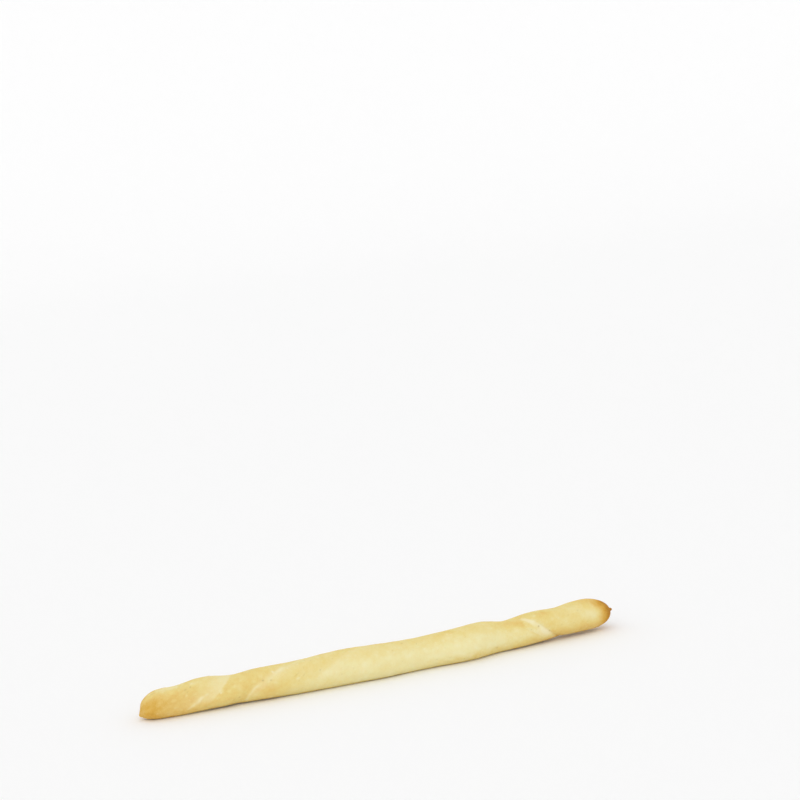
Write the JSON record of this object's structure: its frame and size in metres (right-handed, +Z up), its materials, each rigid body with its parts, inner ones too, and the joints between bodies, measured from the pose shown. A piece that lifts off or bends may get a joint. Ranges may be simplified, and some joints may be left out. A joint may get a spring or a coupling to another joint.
{
  "type": "grissini breadstick",
  "caption": "Thin hand-rolled breadstick with diagonal twist creases, a blunt cut end and a round end with a small pinched tip, lying on its flat baked underside.",
  "frame": {"origin": "under the middle of the stick's box, on the surface it lies on", "axes": "+X along the stick, from the blunt cut end to the round end with the pinched tip; +Z up; -Y towards the side that shows the creases"},
  "size_m": [0.166, 0.0148, 0.0112],
  "materials": {
    "crust": "matte pale baked crust, golden at the cut end and in the twist, brown at the pinched tip"
  },
  "bodies": {
    "root": {"breadstick": "crust"}
  },
  "joints": []
}
